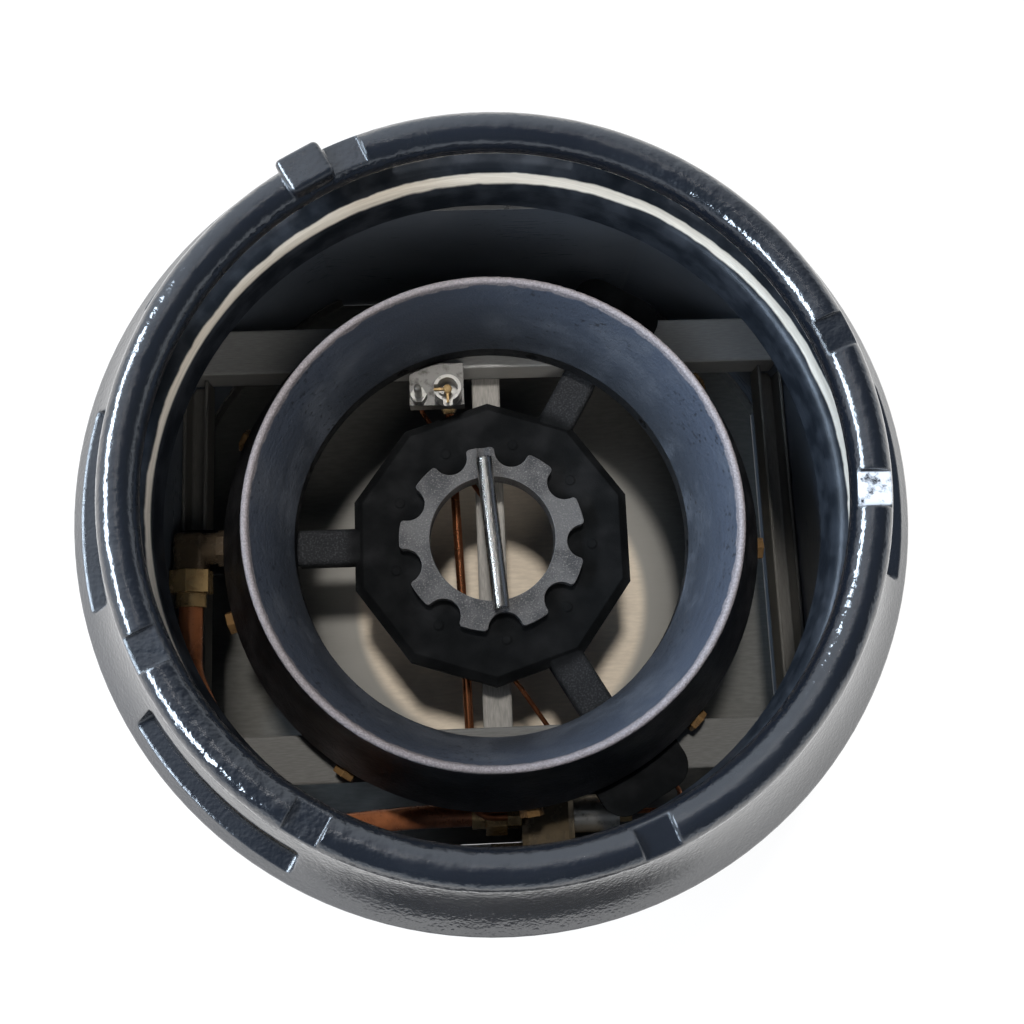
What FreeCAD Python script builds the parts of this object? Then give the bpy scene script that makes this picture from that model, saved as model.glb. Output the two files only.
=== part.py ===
"""Wok burner: a cast gas ring in a stainless drum, under a lift-off wok ring.

Millimetres, +Z up. The origin is on the burner's axis, on the plane the feet stand on.
The front, with the tap and its knob, faces -Y.
"""
import FreeCAD, Part
import math
import os

V = FreeCAD.Vector
X, Y, Z = V(1, 0, 0), V(0, 1, 0), V(0, 0, 1)
ORIGIN = V(0, 0, 0)
cylinder = Part.makeCylinder

# clearances
RUN_GAP = 0.3           # between bodies that move past each other
WELD_GAP = 0.3          # left by a seam or a coped end
THREAD_GAP = 0.1        # round a screwed-in spigot
SHEET = 1.5             # stainless sheet of the drum, floor and collar

# feet and floor
FOOT_H = 40.0           # underside of the floor above the ground
FOOT_COUNT = 4
FOOT_INSET = 44.0       # feet inside the drum's face
FOOT_PAD_R = 21.0
FOOT_PAD_H = 11.0
FOOT_STUD_R = 5.0
FOOT_STUD_OVER = 4.0    # stud shown above its upper nut
FOOT_NUT_AF = 17.0
FOOT_NUT_H = 8.0
FLOOR_LIP_H = 14.0

# drum: wall with flat sides, back and front, sloped shoulder, neck
DRUM_ROOM = 67.0        # from the gas gallery out to the drum's face
SHOULDER_TOP = 257.0
SHOULDER_LOW = 195.0
PANEL_Y = 200.0         # flat front panel, distance of its face from the axis
BACK_Y = 205.0          # flat back, below the shoulder
VENT_COUNT = 5          # on each side of the front
VENT_W = 9.0
VENT_H = 52.0
VENT_LOW = 72.0
VENT_FIRST = 33.0       # degrees forward of the sides
VENT_STEP = 5.5

# collar that carries the wok ring
COLLAR_Z = 275.0
COLLAR_R = 217.0
COLLAR_BORE_R = 181.0
COLLAR_ROLL_R = 9.0
COLLAR_WALL_H = 27.0
COLLAR_LIP_H = 10.0

# wok ring
BEAD_H = 55.0           # centre of the bead above the collar
BEAD_R = 180.0
BEAD_TUBE_R = 10.0
APRON_OVER = 1.0        # the ring's foot beyond the collar's edge
APRON_WALL = 6.0
APRON_DIP = 3.2         # how far the flare sags inside a straight cone
APRON_EDGE_H = 4.0
APRON_SLOT_H = 18.0
APRON_SLOT_ARC = 29.0
APRON_SLOT_CORNER = 3.0
APRON_SLOT_Z = 20.0     # middle of the slots above the collar
APRON_SLOT_PITCH = 45.0
APRON_SLOT_FIRST = 0.3
APRON_SLOT_COUNT = 6
STATION_W = 18.0
NOTCH_DEPTH = 3.5
NOTCH_ANGLES = (113.0, 21.5, -4.0, -69.0, -120.5, -155.0)
LUG_RISE = 3.0
LUG_W = 24.0
LUG_OVER = 1.0          # how far the lug stands out past the bead
LUG_ANGLE = 119.8

# rails that carry the burner
RAIL_TOP = 140.0
RAIL_W = 30.0
RAIL_H = 25.0
RAIL_WALL = 2.0
CHANNEL_OUT = 4.0       # channels outside the elbow's middle
CHANNEL_W = 16.0
CHANNEL_TOP = 130.0
CHANNEL_H = 20.0
STRIP_W = 19.0
STRIP_T = 3.0

# cast burner: gas gallery, three arms, ten-sided hub
GALLERY_R = 145.0       # middle of the gas gallery
GALLERY_W = 40.0
GALLERY_WALL = 12.0
GALLERY_H = 21.0
GALLERY_EDGE = 4.0
DUCT_H = 11.0
REGISTER_H = 5.0
REGISTER_GAP = 0.6
HUB_SIDES = 10
HUB_R = 93.0
HUB_TOP = 146.0
HUB_H = 24.0
HUB_BEVEL = 6.0
HUB_BORE_R = 45.0
ARM_ANGLES = (180.0, 60.0, -60.0)
ARM_W = 23.0
ARM_H = 17.0
ARM_DROP = 2.0          # arm's top below the hub's
ARM_EDGE = 4.0
PORT_R = 3.0            # small bosses outside the scallops
PORT_RISE = 0.8
PORT_OUT = 5.0
EAR_ANGLES = (60.0, -60.0)
EAR_OUT = 26.0
EAR_W = 60.0
EAR_H = 10.0
LEG_W = 30.0
LEG_OVER = 11.0         # leg's end past the elbow's middle
LEG_H = 6.0
BURNER_BOLT_R = 4.0
BURNER_BOLT_OUT = 8.6   # outside the gallery's middle
BURNER_BOLT_DEPTH = 4.0
BURNER_BOLT_AF = 13.0
BURNER_BOLT_HEAD = 5.3

# jets and the plugs that close their drillings
JET_COUNT = 9
JET_FIRST = -4.0
JET_R = 4.0
JET_HOLE_R = 1.2
PLUG_R = 5.0
PLUG_AF = 13.0
PLUG_HEAD = 8.0

# flame guard
GUARD_RIM_Z = 236.0
GUARD_RIM_IN_R = 138.4
GUARD_RIM_W = 4.2
GUARD_LAP_IN = 1.2      # foot past the gallery's inner and outer walls
GUARD_LAP_OUT = 3.0
GUARD_WALL = 4.5
GUARD_FLARE = 4.5       # how far the skirt sags inside a straight cone
GUARD_WEB = 14.0        # solid depth under the rim

# star cap and its lift bar
STAR_R = 59.2
STAR_BORE_R = 40.0
STAR_H = 10.0
SCALLOP_R = 11.0        # a scallop over each jet's line
SCALLOP_DEPTH = 11.8
STAR_EDGE = 2.5
SPIGOT_H = 8.0
BAR_R = 5.2
BAR_L = 97.0
BAR_SINK = 1.6
BAR_TURN = 4.6          # degrees off the front-back line
BAR_SHIFT = 3.0         # towards the back

# gas pipe and its elbow on the gallery's left
PIPE_R = 7.5
PIPE_WALL = 1.0
ELBOW_OUT = 25.0        # elbow's middle outside the gallery
ELBOW_R = 10.0
ELBOW_EDGE = 4.0
ELBOW_HEX_AF = 20.0
ELBOW_HEX_L = 8.0
ELBOW_REACH = 14.0
ELBOW_BORE_R = 5.5
ELBOW_SPIGOT_R = 8.0
FITTING_AF = 24.0
FITTING_NUT_L = 14.0
SLEEVE_R = 9.4
SLEEVE_L = 9.0
PIPE_BEND_R = 34.0
PIPE_OFF_WALL = 25.0    # pipe's line from the drum's inner face where it bends
PIPE_TURN = -138.0      # angle at which it leaves the wall
PIPE_FRONT_X = -108.0
PIPE_DROP_X = -62.0
PIPE_SAG = 6.0

# gas tap behind the front panel
TAP_X = 30.0
TAP_Z = 95.0
TAP_W = 34.0
TAP_L = 44.0
TAP_H = 38.0
TAP_FLANGE_W = 74.0
TAP_FLANGE_H = 32.0
TAP_FLANGE_T = 4.0
TAP_BORE_R = 10.0
TAP_SCREW_X = 29.0
TAP_SCREW_R = 2.0
TAP_SCREW_HEAD_R = 3.8
TAP_SCREW_HEAD = 2.4
PLUG_ROTOR_L = 36.0
ROTOR_END = 2.0         # metal behind the spring
ROTOR_PORT_R = 3.5
SPINDLE_R = 4.0
SPINDLE_FLAT = 2.8
SPINDLE_GAP = 0.25
SPINDLE_IN = 18.0       # spindle inside the rotor when the knob is out
PUSH = 4.0
SPRING_R = 5.2
SPRING_WIRE_R = 0.6
SPRING_TURNS = 4
SPRING_PITCH = 2.2
BONNET_R = 15.0
PANEL_HOLE_R = 6.0
KNOB_R = 22.0
KNOB_L = 26.5
KNOB_GAP = 5.5
KNOB_GRIP_W = 11.0
KNOB_GRIP_DEPTH = 13.0
OUTLET_R = 10.0
OUTLET_L = 9.0
OUTLET_Y = 20.0         # from the body's front face
OUTLET_DROP = 5.0
INLET_R = 10.5
INLET_BORE_R = 6.5
INLET_NECK_R = 9.5      # between the floor and the tap
INLET_TAIL = 28.0       # inlet's reach under the floor
INLET_AF = 30.0
INLET_NUT_H = 7.0
INLET_THREAD = 8.0
MAGNET_R = 12.0
MAGNET_L = 30.0

# pilot
PILOT_X = -25.5
PILOT_Y = 95.0
PILOT_TAB_Z = 150.0
PILOT_TAB_IN = 89.5
PILOT_BRACKET_L = -50.5
PILOT_BRACKET_R = -15.0
PILOT_LEG_L = -41.0
PILOT_LEG_LOW = 119.0
PILOT_LIP_H = 10.0      # folded-down front and right edges
PILOT_TUBE_R = 3.0
PILOT_BEND_R = 14.0
PILOT_STEM_R = 3.6
PILOT_STEM_WALL = 1.2
PILOT_STEM_LOW = 141.0
HOOD_R = 8.8
HOOD_WALL = 2.2
HOOD_LOW = 158.0
HOOD_TOP = 172.0
HOOD_FLOOR = 2.8
HOOD_FRONT_W = 6.4      # slots for the two flames
HOOD_SIDE_W = 4.8
PILOT_TIP_R = 2.8
TONGUE_W = 1.6
SMALL_AF = 12.0
SMALL_NUT_L = 9.0
COUPLE_X = -44.5
COUPLE_Y = 95.5
COUPLE_R = 3.2
COUPLE_TIP_R = 2.4
COUPLE_TIP_Z = 173.0
COUPLE_LOW = 138.0
COUPLE_AF = 9.5
COUPLE_HEX_H = 5.5
LEAD_R = 1.6
LEAD_BEND_R = 8.5
BRACKET_SCREW_R = 2.0
BRACKET_SCREW_HEAD_R = 3.6
BRACKET_SCREW_HEAD = 2.4
BRACKET_SCREW_X = (-35.0, -20.0)
BRACKET_SCREW_Z = 128.0

# worked out from the sizes above
GALLERY_IN_R = GALLERY_R - GALLERY_W / 2
GALLERY_OUT_R = GALLERY_R + GALLERY_W / 2
DUCT_W = GALLERY_W - 2 * GALLERY_WALL
DRUM_R = GALLERY_OUT_R + DRUM_ROOM
NECK_R = COLLAR_R - SHEET - WELD_GAP
APRON_R = COLLAR_R + APRON_OVER
GUARD_RIM_OUT_R = GUARD_RIM_IN_R + GUARD_RIM_W
FOOT_CIRCLE_R = DRUM_R - FOOT_INSET
BURNER_BOLT_CIRCLE_R = GALLERY_R + BURNER_BOLT_OUT
RAIL_Y = BURNER_BOLT_CIRCLE_R * math.sin(math.radians(EAR_ANGLES[0]))
EAR_R = GALLERY_OUT_R + EAR_OUT
ELBOW_X = GALLERY_OUT_R + ELBOW_OUT
CHANNEL_X = ELBOW_X + CHANNEL_OUT
SIDE_X = CHANNEL_X + CHANNEL_W / 2 + 2 * WELD_GAP + SHEET
LEG_R = ELBOW_X + LEG_OVER
GUARD_FOOT_IN_R = GALLERY_IN_R - GUARD_LAP_IN
GUARD_FOOT_OUT_R = GALLERY_OUT_R + GUARD_LAP_OUT
DRUM_TOP = COLLAR_Z - SHEET
FLOOR_TOP = FOOT_H + SHEET
DRUM_IN_R = DRUM_R - SHEET
PANEL_BACK = PANEL_Y - SHEET
BEAD_Z = COLLAR_Z + BEAD_H
GALLERY_TOP = RAIL_TOP + GALLERY_H
JET_Z = RAIL_TOP + GALLERY_H / 2
STAR_TOP = HUB_TOP + STAR_H
TAP_FRONT = -PANEL_BACK
TAP_BACK = TAP_FRONT + TAP_FLANGE_T + TAP_L
ROTOR_FRONT = TAP_FRONT + TAP_FLANGE_T + RUN_GAP
ROTOR_BACK = ROTOR_FRONT + PLUG_ROTOR_L
OUTLET_Z = TAP_Z - OUTLET_DROP


def polar(r, angle, z=0.0):
    a = math.radians(angle)
    return V(r * math.cos(a), r * math.sin(a), z)


def outline(start, *steps):
    """Closed face from points; a step that holds two points is an arc through the first."""
    edges = []
    last = start
    for step in steps + (start,):
        if isinstance(step, tuple):
            edges.append(Part.Arc(last, step[0], step[1]).toShape())
            last = step[1]
        else:
            edges.append(Part.LineSegment(last, step).toShape())
            last = step
    return Part.Face(Part.Wire(edges))


def rz(r, z):
    return V(r, 0, z)


def turned(start, *steps):
    """Solid of revolution about the burner's axis from a profile in the XZ plane."""
    return outline(start, *steps).revolve(ORIGIN, Z, 360)


def washer(r_out, r_in, z_low, z_high):
    outer = cylinder(r_out, z_high - z_low, V(0, 0, z_low))
    return outer.cut(cylinder(r_in, z_high - z_low, V(0, 0, z_low)))


def hexagon(across_flats, length, base, axis, turn=0.0):
    """Hexagonal bar along an axis."""
    r = across_flats / math.sqrt(3)
    wire = Part.makePolygon([polar(r, 60 * i + turn) for i in range(7)])
    bar = Part.Face(wire).extrude(V(0, 0, length))
    bar.Placement = FreeCAD.Placement(base, FreeCAD.Rotation(Z, axis))
    return bar


def nut(across_flats, length, hole_r, base, axis, turn=0.0):
    bar = hexagon(across_flats, length, base, axis, turn)
    return bar.cut(cylinder(hole_r, length, base, axis))


def box(x0, x1, y0, y1, z0, z1):
    return Part.makeBox(x1 - x0, y1 - y0, z1 - z0, V(x0, y0, z0))


def spun(shape, angle):
    """Copy of a shape turned about the burner's axis."""
    copy = shape.copy()
    copy.rotate(ORIGIN, Z, angle)
    return copy


def sector(r_in, r_out, z_low, z_high, angle, arc):
    """Part of a ring, centred on an angle."""
    face = outline(rz(r_in, z_low), rz(r_out, z_low), rz(r_out, z_high), rz(r_in, z_high))
    return spun(face.revolve(ORIGIN, Z, arc), angle - arc / 2)


def bent_path(points, radius):
    """Wire of straight runs joined by tangent arcs."""
    edges = []
    start = points[0]
    for before, corner, after in zip(points, points[1:], points[2:]):
        a = (before - corner).normalize()
        b = (after - corner).normalize()
        half = a.getAngle(b) / 2
        reach = radius / math.tan(half)
        middle = (a + b).normalize() * (radius / math.sin(half) - radius)
        edges.append(Part.LineSegment(start, corner + a * reach).toShape())
        edges.append(Part.Arc(corner + a * reach, corner + middle, corner + b * reach).toShape())
        start = corner + b * reach
    edges.append(Part.LineSegment(start, points[-1]).toShape())
    return Part.Wire(edges)


def rod(points, r, bend_r):
    """Round bar bent along straight runs and tangent arcs."""
    path = bent_path(points, bend_r)
    section = Part.Wire(Part.makeCircle(r, points[0], points[1] - points[0]))
    return path.makePipeShell([section], True, False)


def pipe(points, r, wall, bend_r):
    return rod(points, r, bend_r).cut(rod(points, r - wall, bend_r))


def export(name, *solids):
    shape = solids[0] if len(solids) == 1 else Part.makeCompound(list(solids))
    shape.exportStep("parts/%s.step" % name)


def around(count, first=0.0, arc=360.0):
    return [first + arc * i / count for i in range(count)]


def between_flats(inset):
    """Block between the drum's flat front, back and sides."""
    side = SIDE_X - inset
    return box(-side, side, inset - PANEL_Y, BACK_Y - inset, 0, 2 * COLLAR_Z)


def drum_skin(inset):
    skin = turned(rz(0, FOOT_H), rz(DRUM_R - inset, FOOT_H), rz(DRUM_R - inset, SHOULDER_LOW),
                  rz(NECK_R - inset, SHOULDER_TOP), rz(NECK_R - inset, DRUM_TOP), rz(0, DRUM_TOP))
    reach = 2 * DRUM_R
    low = box(-reach, reach, -reach, reach, 0, SHOULDER_LOW + inset)
    front = box(-reach, reach, -reach, inset - PANEL_Y, 0, 2 * COLLAR_Z)
    return skin.cut([low.cut(between_flats(inset)), front])


def tap_holes():
    holes = [cylinder(PANEL_HOLE_R, 4 * SHEET, V(TAP_X, -PANEL_Y - SHEET, TAP_Z), Y)]
    for side in (-1, 1):
        at = V(TAP_X + side * TAP_SCREW_X, -PANEL_Y - SHEET, TAP_Z)
        holes.append(cylinder(TAP_SCREW_R + THREAD_GAP, 4 * SHEET + TAP_FLANGE_T, at, Y))
    return holes


def make_drum():
    wall = drum_skin(0).cut(drum_skin(SHEET))
    low, high = VENT_LOW + VENT_W / 2, VENT_LOW + VENT_H - VENT_W / 2
    inner = DRUM_R - 4 * SHEET
    slot = box(inner, DRUM_R + SHEET, -VENT_W / 2, VENT_W / 2, low, high)
    for z in (low, high):
        slot = slot.fuse(cylinder(VENT_W / 2, 5 * SHEET, V(inner, 0, z), X))
    slot = slot.removeSplitter()
    turns = [VENT_FIRST + VENT_STEP * i for i in range(VENT_COUNT)]
    vents = [spun(slot, a) for t in turns for a in (-t, 180 + t)]
    return wall.cut(vents + tap_holes())


def foot_places():
    return [polar(FOOT_CIRCLE_R, a) for a in around(FOOT_COUNT, 45)]


def make_floor():
    r = DRUM_IN_R - WELD_GAP
    top = FOOT_H + FLOOR_LIP_H
    pan = turned(rz(0, FOOT_H), rz(r, FOOT_H), rz(r, top), rz(r - SHEET, top), rz(r - SHEET, FLOOR_TOP),
                 rz(0, FLOOR_TOP)).common(between_flats(SHEET + WELD_GAP))
    holes = [cylinder(FOOT_STUD_R + RUN_GAP, 2 * SHEET, at + Z * (FOOT_H - SHEET / 2))
             for at in foot_places()]
    inlet = V(TAP_X, inlet_y(), FOOT_H - SHEET / 2)
    holes.append(cylinder(INLET_NECK_R + RUN_GAP, 2 * SHEET, inlet))
    return pan.cut(holes)


def make_feet():
    feet, nuts = [], []
    for at in foot_places():
        stud_top = FLOOR_TOP + FOOT_NUT_H + FOOT_STUD_OVER
        pad = Part.makeCone(FOOT_PAD_R, FOOT_PAD_R * 0.8, FOOT_PAD_H, at)
        feet.append(pad.fuse(cylinder(FOOT_STUD_R, stud_top, at)).removeSplitter())
        for z in (FOOT_H - FOOT_NUT_H, FLOOR_TOP):
            nuts.append(nut(FOOT_NUT_AF, FOOT_NUT_H, FOOT_STUD_R + THREAD_GAP, at + Z * z, Z))
    return feet, nuts


def make_collar():
    roll = COLLAR_BORE_R + COLLAR_ROLL_R
    low = COLLAR_Z - COLLAR_WALL_H
    lip = COLLAR_Z - COLLAR_LIP_H
    in_r = COLLAR_BORE_R + SHEET
    bow = COLLAR_ROLL_R * math.sqrt(0.5)
    bow_in = (COLLAR_ROLL_R - SHEET) * math.sqrt(0.5)
    centre_z = COLLAR_Z - COLLAR_ROLL_R
    return turned(rz(COLLAR_R, lip), rz(COLLAR_R, COLLAR_Z), rz(roll, COLLAR_Z),
                  (rz(roll - bow, centre_z + bow), rz(COLLAR_BORE_R, centre_z)),
                  rz(COLLAR_BORE_R, low), rz(in_r, low), rz(in_r, centre_z),
                  (rz(roll - bow_in, centre_z + bow_in), rz(roll, COLLAR_Z - SHEET)),
                  rz(COLLAR_R - SHEET, COLLAR_Z - SHEET), rz(COLLAR_R - SHEET, lip))


def apron_slot(angle):
    z = COLLAR_Z + APRON_SLOT_Z
    half = APRON_SLOT_H / 2
    slot = sector(BEAD_R, APRON_R + APRON_WALL, z - half, z + half, angle, APRON_SLOT_ARC)
    corners = [e for e in slot.Edges if e.Curve.TypeId == "Part::GeomLine" and e.BoundBox.ZLength < half]
    return slot.makeFillet(APRON_SLOT_CORNER, corners)


def make_wok_ring():
    lean = math.radians(35)
    edge = COLLAR_Z + APRON_EDGE_H
    top_out = rz(BEAD_R + BEAD_TUBE_R * math.cos(lean), BEAD_Z - BEAD_TUBE_R * math.sin(lean))
    top_in = rz(BEAD_R, BEAD_Z - BEAD_TUBE_R * 0.6)
    mid_out = (top_out + rz(APRON_R, edge)) * 0.5 - X * APRON_DIP
    foot_in = APRON_R - APRON_WALL
    mid_in = (top_in + rz(foot_in, COLLAR_Z)) * 0.5 - X * APRON_DIP
    apron = turned(top_out, (mid_out, rz(APRON_R, edge)), rz(APRON_R, COLLAR_Z), rz(foot_in, COLLAR_Z),
                   (mid_in, top_in))
    bead = Part.makeTorus(BEAD_R, BEAD_TUBE_R, V(0, 0, BEAD_Z))
    ring = bead.fuse(apron)

    slots = [apron_slot(APRON_SLOT_FIRST + APRON_SLOT_PITCH * i) for i in range(APRON_SLOT_COUNT)]
    top = BEAD_Z + BEAD_TUBE_R
    across = BEAD_TUBE_R + RUN_GAP
    notch = box(BEAD_R - across, BEAD_R + across, -STATION_W / 2, STATION_W / 2, top - NOTCH_DEPTH, top + 1)
    notches = [spun(notch, a) for a in NOTCH_ANGLES]
    lug = box(BEAD_R - BEAD_TUBE_R * 0.9, BEAD_R + BEAD_TUBE_R + LUG_OVER, -LUG_W / 2, LUG_W / 2,
              BEAD_Z, top + LUG_RISE)
    lug = lug.makeFillet(LUG_RISE, [e for e in lug.Edges if e.BoundBox.ZMax > BEAD_Z + 1])
    ring = ring.fuse(spun(lug, LUG_ANGLE))
    return ring.cut(slots + notches).removeSplitter()


def inside_drum(shape):
    """Cope a piece to the drum's inner face."""
    room = cylinder(DRUM_IN_R - WELD_GAP, DRUM_TOP).common(between_flats(SHEET + WELD_GAP))
    return shape.common(room)


def burner_bolt_places():
    return [polar(BURNER_BOLT_CIRCLE_R, a) for a in EAR_ANGLES]


def make_rail(side):
    half = RAIL_W / 2
    low = RAIL_TOP - RAIL_H
    bar = box(-DRUM_R, DRUM_R, -half, half, low, RAIL_TOP)
    bar = bar.cut(box(-DRUM_R, DRUM_R, RAIL_WALL - half, half - RAIL_WALL, low, RAIL_TOP - RAIL_WALL))
    bar.translate(V(0, side * RAIL_Y, 0))
    holes = [cylinder(BURNER_BOLT_R + RUN_GAP, RAIL_H, at + Z * low) for at in burner_bolt_places()]
    if side > 0:
        face = RAIL_Y - half - RAIL_WALL
        holes += [cylinder(BRACKET_SCREW_R + THREAD_GAP, 3 * RAIL_WALL, V(x, face, BRACKET_SCREW_Z), Y)
                  for x in BRACKET_SCREW_X]
    return inside_drum(bar.cut(holes))


def make_channel(side):
    half = CHANNEL_W / 2
    low = CHANNEL_TOP - CHANNEL_H
    reach = RAIL_Y - RAIL_W / 2 - WELD_GAP
    bar = box(-half, half, -reach, reach, low, CHANNEL_TOP)
    bar = bar.cut(box(RAIL_WALL - half, half - RAIL_WALL, -reach, reach, low + RAIL_WALL, CHANNEL_TOP))
    bar.translate(V(side * CHANNEL_X, 0, 0))
    return inside_drum(bar)


def make_strip():
    reach = RAIL_Y + RAIL_W / 2
    top = RAIL_TOP - RAIL_H
    return box(-STRIP_W / 2, STRIP_W / 2, -reach, reach, top - STRIP_T, top)


def guard_inner_r(z):
    """Radius of the guard's inner face at a height."""
    t = (z - GALLERY_TOP) / (GUARD_RIM_Z - GALLERY_TOP)
    return GUARD_FOOT_IN_R + t * (GUARD_RIM_IN_R - GUARD_FOOT_IN_R)


def make_guard():
    rim_r = (GUARD_RIM_OUT_R - GUARD_RIM_IN_R) / 2
    rim_mid = GUARD_RIM_IN_R + rim_r
    shoulder = GUARD_RIM_Z - rim_r
    span = GUARD_RIM_Z - GALLERY_TOP
    mid_z = GALLERY_TOP + span / 2
    mid_r = (GUARD_RIM_OUT_R + GUARD_FOOT_OUT_R) / 2 - GUARD_FLARE
    body = turned(rz(GUARD_FOOT_IN_R, GALLERY_TOP), rz(GUARD_RIM_IN_R, shoulder),
                  (rz(rim_mid, GUARD_RIM_Z), rz(GUARD_RIM_OUT_R, shoulder)),
                  (rz(mid_r, mid_z), rz(GUARD_FOOT_OUT_R, GALLERY_TOP)))
    peak = GUARD_RIM_Z - GUARD_WEB
    low = GALLERY_TOP - 1
    hollow = turned(rz(GUARD_FOOT_IN_R + GUARD_WALL, low), rz(guard_inner_r(peak) + GUARD_WALL / 2, peak),
                    (rz(mid_r - GUARD_WALL, mid_z), rz(GUARD_FOOT_OUT_R - GUARD_WALL, low)))
    return body.cut(hollow)


def jet_angles():
    return around(JET_COUNT, JET_FIRST)


def scallop_places():
    return [polar(STAR_R - SCALLOP_DEPTH + SCALLOP_R, a) for a in jet_angles()]


def make_gallery():
    low, edge = RAIL_TOP, RAIL_TOP + GALLERY_EDGE
    ring = turned(rz(GALLERY_IN_R + GALLERY_EDGE, low), rz(GALLERY_OUT_R - GALLERY_EDGE, low),
                  rz(GALLERY_OUT_R, edge), rz(GALLERY_OUT_R, GALLERY_TOP),
                  rz(GALLERY_IN_R, GALLERY_TOP), rz(GALLERY_IN_R, edge))
    register_in = guard_inner_r(GALLERY_TOP + REGISTER_H) + GUARD_WALL + REGISTER_GAP
    register_out = GUARD_FOOT_OUT_R - GUARD_WALL - REGISTER_GAP - REGISTER_H
    return ring.fuse(washer(register_out, register_in, GALLERY_TOP, GALLERY_TOP + REGISTER_H))


def make_hub():
    low = HUB_TOP - HUB_H
    corner = 180.0 / HUB_SIDES
    ends = []
    for r, z in ((HUB_R, low), (HUB_R, HUB_TOP - HUB_BEVEL), (HUB_R - HUB_BEVEL, HUB_TOP)):
        ends.append(Part.makePolygon([polar(r, a, z) for a in around(HUB_SIDES, corner) + [corner]]))
    hub = Part.makeLoft(ends[:2], True, True).fuse(Part.makeLoft(ends[1:], True, True))
    ports = [cylinder(PORT_R, PORT_RISE + HUB_BEVEL, polar(STAR_R + PORT_OUT, a, HUB_TOP - HUB_BEVEL))
             for a in jet_angles()]
    return hub.fuse(ports)


def make_arm():
    top = HUB_TOP - ARM_DROP
    arm = box(HUB_BORE_R + ARM_W / 2, GALLERY_R, -ARM_W / 2, ARM_W / 2, top - ARM_H, top)
    ridge = [e for e in arm.Edges if e.BoundBox.ZMin > top - 1 and e.BoundBox.XLength > ARM_W]
    arm = arm.makeFillet(ARM_EDGE, ridge)
    return arm.cut(washer(GALLERY_R + ARM_W, GALLERY_IN_R, 0, RAIL_TOP))


def make_ear():
    corner_r = EAR_W / 4
    top = RAIL_TOP + EAR_H
    ear = box(GALLERY_R, EAR_R - corner_r, -EAR_W / 2, EAR_W / 2, RAIL_TOP, top)
    ear = ear.fuse(box(GALLERY_R, EAR_R, corner_r - EAR_W / 2, EAR_W / 2 - corner_r, RAIL_TOP, top))
    for side in (-1, 1):
        at = V(EAR_R - corner_r, side * (EAR_W / 2 - corner_r), RAIL_TOP)
        ear = ear.fuse(cylinder(corner_r, EAR_H, at))
    return ear.removeSplitter()


def make_burner():
    low = HUB_TOP - HUB_H
    leg = box(-LEG_R, -GALLERY_R, -LEG_W / 2, LEG_W / 2, CHANNEL_TOP, CHANNEL_TOP + LEG_H)
    foot_top = JET_Z - ELBOW_SPIGOT_R
    leg = leg.fuse(box(-GALLERY_OUT_R, -GALLERY_R, -LEG_W / 2, LEG_W / 2, CHANNEL_TOP, foot_top))
    parts = [make_hub(), leg]
    parts += [spun(make_arm(), a) for a in ARM_ANGLES]
    parts += [spun(make_ear(), a) for a in EAR_ANGLES]
    body = make_gallery().fuse(parts)

    cuts = [cylinder(HUB_BORE_R, HUB_H, V(0, 0, low))]
    duct_low, duct_high = JET_Z - DUCT_H / 2, JET_Z + DUCT_H / 2
    cuts.append(washer(GALLERY_R + DUCT_W / 2, GALLERY_R - DUCT_W / 2, duct_low, duct_high))
    for a in jet_angles():
        along = polar(1, a)
        cuts.append(cylinder(JET_R + THREAD_GAP, GALLERY_W / 2, polar(GALLERY_IN_R, a, JET_Z), along))
        cuts.append(cylinder(PLUG_R + THREAD_GAP, GALLERY_W, polar(GALLERY_R, a, JET_Z), along))
    cuts.append(cylinder(ELBOW_SPIGOT_R + THREAD_GAP, GALLERY_W, V(-GALLERY_R, 0, JET_Z), -X))
    for at in burner_bolt_places():
        cuts.append(cylinder(BURNER_BOLT_R + THREAD_GAP, BURNER_BOLT_DEPTH, at + Z * RAIL_TOP))
    return body.cut(cuts).removeSplitter()


def make_jets():
    jets, plugs = [], []
    for a in jet_angles():
        along = polar(1, a)
        inner = polar(GALLERY_IN_R, a, JET_Z)
        jet = cylinder(JET_R, GALLERY_WALL, inner, along)
        jets.append(jet.cut(cylinder(JET_HOLE_R, GALLERY_WALL, inner, along)))
        thread = cylinder(PLUG_R, GALLERY_WALL, polar(GALLERY_OUT_R - GALLERY_WALL, a, JET_Z), along)
        head = hexagon(PLUG_AF, PLUG_HEAD, polar(GALLERY_OUT_R, a, JET_Z), along)
        plugs.append(thread.fuse(head).removeSplitter())
    return jets, plugs


def make_burner_bolts():
    bolts = []
    web = RAIL_TOP - RAIL_WALL
    for at in burner_bolt_places():
        shank = cylinder(BURNER_BOLT_R, RAIL_WALL + BURNER_BOLT_DEPTH, at + Z * web)
        head = hexagon(BURNER_BOLT_AF, BURNER_BOLT_HEAD, at + Z * (web - BURNER_BOLT_HEAD), Z)
        bolts.append(shank.fuse(head).removeSplitter())
    return bolts


def lift_bar(r, length):
    bar = cylinder(r, length, V(0, BAR_SHIFT - length / 2, STAR_TOP + BAR_R - BAR_SINK), Y)
    bar.rotate(V(0, BAR_SHIFT, 0), Z, BAR_TURN)
    return bar


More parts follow.
